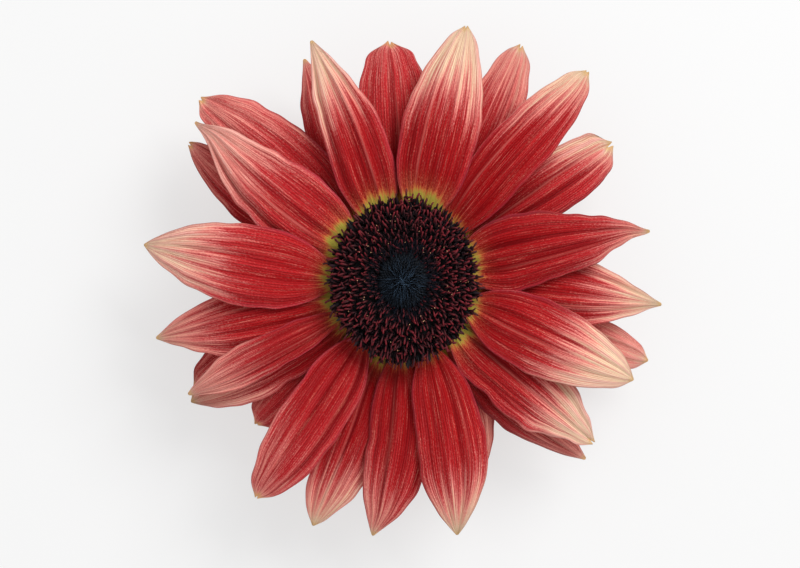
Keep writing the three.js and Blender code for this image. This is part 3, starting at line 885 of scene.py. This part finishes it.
# %% Buds of the middle
bud_count = 300
bud_length = 1.7  # mm
bud_radius, bud_angle = spiral(bud_count, 0, centre_radius * 1.12)
bud_share = bud_radius / centre_radius
bud_size = chance.uniform(0.9, 1.1, bud_count) * (0.62 + 0.34 * bud_share)
bud, bud_faces = turned_template(
    [(0, 0), (0.34, 0.1), (0.42, 0.7), (0.33, 1.25), (0.12, 1.62), (0, bud_length)], 8)
bud_lean = np.radians(-38) * np.minimum(bud_share, 1)
bud_height = disc_height(bud_radius) - 1.5 * mm * bud_size + 0.3 * mm * bud_share
bud_points = scatter(bud, bud_radius, bud_angle, bud_height, bud_lean, 0 * bud_angle, bud_size)
bud_tip = np.tile(up_share(bud, bud_length) ** 2, (bud_count, 1))
make_florets("closed_buds", bud_points, bud_faces[:, ::-1], bud_finish, bud_tip,
             ("unopened_disc_florets",))
print(bud_count, "buds")


# %% Hairs over the buds
hair_line = [(0, 0, 0), (-0.05, 0, 0.05), (-0.9, 0, 0.42), (-1.8, 0, 0.55), (-2.7, 0, 0.5), (-3.2, 0, 0.4)]
hair_sides = 3
hair, hair_faces = rod_template(hair_line, [0, 0.03, 0.03, 0.026, 0.018, 0], hair_sides)
hair_count = 900
hair_spread = 3.0  # the area that hairs cover, as a multiple of the unopened middle's
hair_radius = centre_radius * np.sqrt(chance.uniform(0.02, hair_spread, hair_count))
hair_angle = chance.uniform(0, 2 * np.pi, hair_count)
hair_height = disc_height(hair_radius) + 0.15 * mm
hair_lean = chance.normal(0, 0.07, hair_count)
hair_turn = chance.normal(0, 0.16, hair_count)
hair_size = chance.uniform(0.35, 1.0, hair_count)
hair_points = scatter(hair, hair_radius, hair_angle, hair_height, hair_lean, hair_turn, hair_size)
hair_tip = np.tile(np.repeat(np.linspace(0, 1, len(hair_line)), hair_sides), (hair_count, 1))
hair_tip = hair_tip * chance.uniform(0.1, 1.3, (hair_count, 1))
hair_tip = hair_tip * np.clip(1.75 - hair_radius / centre_radius, 0.1, 1)[:, None]
make_florets("disc_hairs", hair_points, hair_faces, hair_finish, hair_tip)
print(hair_count, "hairs")


# %% Grains of pollen
grain_count = 70
grain_of = chance.integers(open_count // 8, open_count, grain_count)
grain, grain_faces = turned_template([(0, 0), (0.08, 0.03), (0.11, 0.11), (0.08, 0.19), (0, 0.22)], 6)
grain_radius = open_radius[grain_of] + chance.normal(0, 0.4, grain_count) * mm
grain_angle = open_angle[grain_of] + chance.normal(0, 0.03, grain_count)
grain_height = disc_height(open_radius[grain_of]) - 0.1 * mm
grain_turn = chance.uniform(0, 6, grain_count)
grain_size = chance.uniform(0.7, 1.4, grain_count)
grain_points = scatter(grain, grain_radius, grain_angle, grain_height, np.zeros(grain_count), grain_turn,
                       grain_size)
grain_tip = np.tile(chance.uniform(0, 1, (grain_count, 1)), (1, len(grain)))
make_florets("pollen_grains", grain_points, grain_faces[:, ::-1], pollen_finish, grain_tip)
print(grain_count, "grains")

# %% [markdown]
# ## Bracts, receptacle and stem
#
# Behind the petals the plant is green and coarse: leaf-like bracts with a sunken midrib and a fringe
# of bristles, a fleshy receptacle, and a ribbed hairy stem whose cut end shows pale pith. They share
# the fibre pattern with the petals, only coarser.

# %% Green finishes
def green_finish(name, shade, light, coarse, roughness):
    """Green tissue with paler veins by the 'vein' mark and paler tips by the 'pale' mark."""
    material, tree, shader = new_material(name, Roughness=roughness, Specular_IOR_Level=0.3,
                                          Sheen_Weight=0.15, Sheen_Roughness=0.5)
    fibre = add_fibres(tree, 140.0, coarse, 5.0)
    tissue = blend_colours(tree, fibre["Streaks"], shade, light)
    tissue = blend_colours(tree, times(tree, mark(tree, "vein"), 0.6), tissue, colour(150, 176, 98))
    tissue = blend_colours(tree, mark(tree, "pale"), tissue, colour(206, 204, 160))
    tree.links.new(tissue, shader.inputs["Base Color"])
    tree.links.new(place_node(tree, "ShaderNodeMapRange", {
        "Value": fibre["Fibres"], "To Min": roughness - 0.1, "To Max": roughness + 0.15}).outputs[0],
        shader.inputs["Roughness"])
    add_bump(tree, shader, fibre["Height"], 0.6, 0.3 * mm)
    return material


bract_green = green_finish("bract green", colour(58, 88, 40), colour(92, 124, 58), 6.0, 0.58)
flesh_green = green_finish("receptacle green", colour(104, 132, 62), colour(140, 162, 86), 9.0, 0.62)
stem_green = green_finish("stem green", colour(96, 122, 56), colour(134, 154, 84), 14.0, 0.6)
print("each green finish has", len(bract_green.node_tree.nodes), "nodes")


# %% Bract surfaces
def bract_surface(blade, seed, rows=56, columns=30, thickness=0.55 * mm):
    """Points of a bract's closed skin: CAD arch, a sunken midrib, raised side veins, a wavy edge."""
    rng = np.random.default_rng(100 + seed)
    along, middle, half, arch, u, v = smooth_blade(blade, rows, columns)
    half = np.maximum(half[:, None], 0.12 * mm)
    fade = np.minimum(half / (3 * mm), 1)
    aside = middle[:, None] + v * half + np.abs(v) ** 3 * wavering(rng, u * 3, 4, 0.2 * mm) * fade
    midrib = np.exp(-((v / 0.09) ** 2))
    side_veins = np.exp(-(((np.abs(v) - 0.48) / 0.06) ** 2))
    relief = 0.18 * side_veins - 0.28 * midrib + 0.05 * np.cos(np.pi * (9 * v + 22 * u))
    relief = relief + np.abs(v) ** 4 * wavering(rng, u * 2.5 + 0.3 * v, 3, 0.22)
    top = arch + relief * mm * fade * smoothstep(0, 0.1, u)
    wall = thickness * (1 - 0.7 * np.abs(v) ** 6) * np.ones_like(u)
    under = np.maximum(top - wall - 0.16 * midrib * mm * fade, 0)
    top = np.maximum(top, under + 0.08 * mm)
    x, y = blade_place(blade, along[:, None], aside)
    points = closed_skin(top.shape, x=(x, x), y=(y, y), z=(top, under))
    veins = np.clip(midrib + 0.6 * side_veins, 0, 1) * fade
    pale = 0.3 * smoothstep(0.9, 1.0, np.abs(v)) + 0.15 * smoothstep(0.9, 1.0, u)
    own_length = along[:, None] + seed * 0.21
    marks = closed_skin(top.shape, along=(own_length, own_length), across=(v, v), vein=(veins, veins),
                        pale=(pale, pale + 0.1))
    return np.stack(list(points.values()), axis=-1), marks


# %% Bristles and hairs
spike_rings, spike_sides = 4, 3


def unit(way):
    """Each row of way, n by 3, scaled to a length of 1."""
    return way / np.linalg.norm(way, axis=1, keepdims=True)


def spikes_from(root, way, side, up, tall, share, thick, lowest):
    """Thin three-sided spikes, as count by rings by sides by 3.

    A point = root + share of the length along way + thickness x (cos of its angle x side + sin x up),
    and none lies below the lowest height."""
    around = np.arange(spike_sides) * 2 * np.pi / spike_sides
    thick = np.array(thick) * mm
    ring = thick[:, None, None] * (np.cos(around)[None, :, None] * side[:, None, None]
                                   + np.sin(around)[None, :, None] * up[:, None, None])
    spikes = root[:, None, None] + np.array(share)[:, None, None] * (tall * way)[:, None, None] + ring
    spikes[..., 2] = np.maximum(spikes[..., 2], lowest)
    return spikes.reshape(len(root), -1, 3)


def bristles(points, count, seed):
    """Bristles along both edges of a bract, that point out and forwards."""
    rng = np.random.default_rng(500 + seed)
    rows, columns = points.shape[0], points.shape[1] // 2
    row = rng.integers(2, rows - 3, count)
    edge = np.where(rng.random(count) < 0.5, 0, columns - 1)
    root = points[row, edge]
    inner = points[row, np.where(edge == 0, 2, columns - 3)]
    ahead = points[row + 2, edge] - root
    way = unit(root - inner) + 0.7 * ahead / (np.linalg.norm(ahead, axis=1, keepdims=True) + 1e-9)
    way = unit(way + rng.normal(0, 0.25, way.shape))
    tall = rng.uniform(0.5, 1.1, count)[:, None] * mm
    side = np.cross(way, np.array([0.0, 0.0, 1.0]))
    side = side / (np.linalg.norm(side, axis=1, keepdims=True) + 1e-9)
    return spikes_from(root - 0.1 * mm * way, way, side, np.cross(side, way), tall,
                       (0, 0.02, 0.5, 1.0), (0, 0.07, 0.045, 0), 0)


def make_spikes(name, spikes, finish, pale):
    """Make one piece of many spikes, all equally pale."""
    still = np.zeros(spikes.shape[:2])
    faces = repeat_faces(lathe_faces(spike_rings, spike_sides), spike_rings * spike_sides, len(spikes))
    make_piece(name, spikes.reshape(-1, 3), faces, finish,
               marks={"along": still, "across": still, "vein": still, "pale": still + pale}, merge=True)


print("a spike has", len(lathe_faces(spike_rings, spike_sides)), "faces")


# %% Make the bracts
bristle_sets = []
bract_nodes = sorted(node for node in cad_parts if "bract" in node)
for number, node in enumerate(bract_nodes):
    points, marks = bract_surface(read_blade(node, *bract_corners), number)
    faces = closed_grid_faces(points.shape[0], points.shape[1])
    make_piece(node.replace("bract", "leafy_bract"), points.reshape(-1, 3), faces[:, ::-1], bract_green,
               (node,), marks)
    bristle_sets.append(bristles(points, 90, number))
spikes = np.concatenate(bristle_sets)
make_spikes("bract_bristles", spikes, bract_green, 0.5)
print(len(bract_nodes), "bracts with", len(spikes), "bristles")


# %% Turned skins with ribs
def node_profile(node):
    """Radius and height of each ring of a turned CAD node, in order up its outside."""
    corners = node_corners(node)
    rings = np.stack([np.hypot(corners[:, 0], corners[:, 1]), corners[:, 2]], axis=1)
    rings = np.unique(np.round(rings, 5), axis=0)
    return rings[np.lexsort((rings[:, 0], rings[:, 1]))]


def turned_skin(profile, sides, ribs, rib_depth, steps):
    """A ribbed turned skin. Radius = the profile's radius less a rounded groove between ribs."""
    share = np.linspace(0, len(profile) - 1, steps)
    radius = np.interp(share, np.arange(len(profile)), profile[:, 0])
    height = np.interp(share, np.arange(len(profile)), profile[:, 1])
    around = np.arange(sides) * 2 * np.pi / sides
    groove = (1 - np.abs(np.cos(around * ribs / 2 + 0.15 * np.sin(3 * around)))) ** 2
    size = radius[:, None] * (1 - rib_depth * groove * (radius[:, None] > 3 * mm))
    across = 0 * height[:, None] + around / np.pi
    points = np.stack([size * np.cos(around), size * np.sin(around), height[:, None] + 0 * around], axis=-1)
    return points.reshape(-1, 3), lathe_faces(steps, sides), points[..., 2], across


print("the receptacle has", len(node_profile("receptacle")), "rings of corners")

# %% Receptacle
skin_sides = 144
under_rim = 1.0 * mm  # rings this near the receptacle's top belong to its rim and upper face
receptacle_rings = node_profile("receptacle")
on_rim = receptacle_rings[:, 1] >= receptacle_rings[:, 1].max() - under_rim
lower, upper = receptacle_rings[~on_rim], receptacle_rings[on_rim]
upper = upper[np.argsort(-upper[:, 0])]
outline = np.concatenate([[[0, lower[0, 1]]], lower[lower[:, 0] > 1 * mm], upper])
points, faces, forward, across = turned_skin(outline, skin_sides, 21, 0.03, 60)
points[:, :2] *= 0.995  # a hair inside the CAD node's wall
make_piece("receptacle_flesh", points, faces, flesh_green, ("receptacle",),
           {"along": forward, "across": across, "vein": 0 * forward, "pale": 0 * forward}, merge=True)
print("rim", round(receptacle_rings[:, 0].max() / mm, 1), "mm in radius")


# %% Stem
stem_steps = 70
stem_rings = node_profile("cut_stem")
outer = stem_rings[stem_rings[:, 0] > 1 * mm]
outline = np.concatenate([[[0, 0]], [[outer[0, 0] * 0.72, 0]], outer, [[0, outer[-1, 1]]]])
points, faces, forward, across = turned_skin(outline, skin_sides, 13, 0.07, stem_steps)
cut = (forward < 0.05 * mm).astype(float)  # the cut face shows the pale pith
make_piece("stem_skin", points, faces, stem_green, ("cut_stem",),
           {"along": forward, "across": across, "vein": 0 * forward, "pale": cut}, merge=True)
print("stem", round(outer[:, 1].max() / mm, 1), "mm long")

# %% Stem hairs
def stem_hairs(count, seed=9):
    """Short stiff hairs that stand out from the stem at all angles."""
    rng = np.random.default_rng(seed)
    angle = rng.uniform(0, 2 * np.pi, count)
    height = rng.uniform(0.5, 13, count) * mm
    radius = np.interp(height, outer[:, 1], outer[:, 0]) * 0.96
    way = unit(np.stack([np.cos(angle), np.sin(angle), rng.normal(-0.2, 0.3, count)], axis=1))
    root = np.stack([radius * np.cos(angle), radius * np.sin(angle), height], axis=1)
    side = np.stack([-np.sin(angle), np.cos(angle), np.zeros(count)], axis=1)
    tall = rng.uniform(0.6, 1.5, count)[:, None] * mm
    return spikes_from(root, way, side, np.cross(way, side), tall, (0, 0.05, 0.5, 1.0),
                       (0, 0.06, 0.04, 0), 0.02 * mm)


hairs = stem_hairs(420)
make_spikes("stem_hairs", hairs, stem_green, 0.6)
print(len(hairs), "stem hairs")

# %% [markdown]
# ## Floor, light and camera
#
# The head lies on a plain white sheet. Even light comes from all round, which keeps the shadows
# faint, and one large soft lamp to one side gives the petals their form. The sheet glows a little by
# itself, so that it stays pale. The camera looks straight down on the face.

# %% Floor
floor_grey, floor_glow = 0.31, 0.6
floor_reach = 2.5  # metres from the middle to each side


def build_floor():
    """One large white square at height 0, which the head rests on."""
    material, _, shader = new_material("lit white sheet", Roughness=0.9, Specular_IOR_Level=0.1,
                                       Emission_Strength=floor_glow)
    shader.inputs["Base Color"].default_value = (floor_grey, floor_grey, floor_grey, 1)
    shader.inputs["Emission Color"].default_value = (1, 1, 1, 1)
    mesh = bpy.data.meshes.new("floor")
    corners = [(-floor_reach, -floor_reach, 0), (floor_reach, -floor_reach, 0),
               (floor_reach, floor_reach, 0), (-floor_reach, floor_reach, 0)]
    mesh.from_pydata(corners, [], [(0, 1, 2, 3)])
    mesh.materials.append(material)
    floor = bpy.data.objects.new("floor", mesh)
    bpy.context.scene.collection.objects.link(floor)


build_floor()
print("floor", 2 * floor_reach, "m wide")


# %% Light
def soft_light(name, place, size, power):
    """A square area light that faces the middle of the head."""
    lamp = bpy.data.lights.new(name, "AREA")
    lamp.shape = "SQUARE"
    lamp.size = size
    lamp.energy = power
    stand = bpy.data.objects.new(name, lamp)
    stand.location = place
    across = math.hypot(place[0], place[1])
    stand.rotation_euler = (math.atan2(across, place[2]), 0, math.atan2(place[0], -place[1]))
    bpy.context.scene.collection.objects.link(stand)


lamp_place = (0.72, 0.8, 1.0)
soft_light("window", lamp_place, 0.85, 18.5)
sky = bpy.data.worlds.new("studio")
sky.use_nodes = True
sky.node_tree.nodes["Background"].inputs["Color"].default_value = (1, 1, 1, 1)
sky.node_tree.nodes["Background"].inputs["Strength"].default_value = 0.6
bpy.context.scene.world = sky
bpy.context.scene.view_settings.view_transform = "Standard"
print("lamp", round(math.dist(lamp_place, (0, 0, 0)), 2), "m from the head")


# %% Camera
view_width = 217 * mm  # how much of the floor's width the view takes in, at the petals' height
camera_height = 0.9
petal_height = 25 * mm
lens = bpy.data.cameras.new("camera")
lens.sensor_width = 36
lens.lens = 36 * camera_height / view_width
camera = bpy.data.objects.new("camera", lens)
camera.location = (-0.8 * mm, -0.8 * mm, camera_height + petal_height)
bpy.context.scene.collection.objects.link(camera)
bpy.context.scene.camera = camera
print("lens", round(lens.lens, 1), "mm at", camera_height, "m")
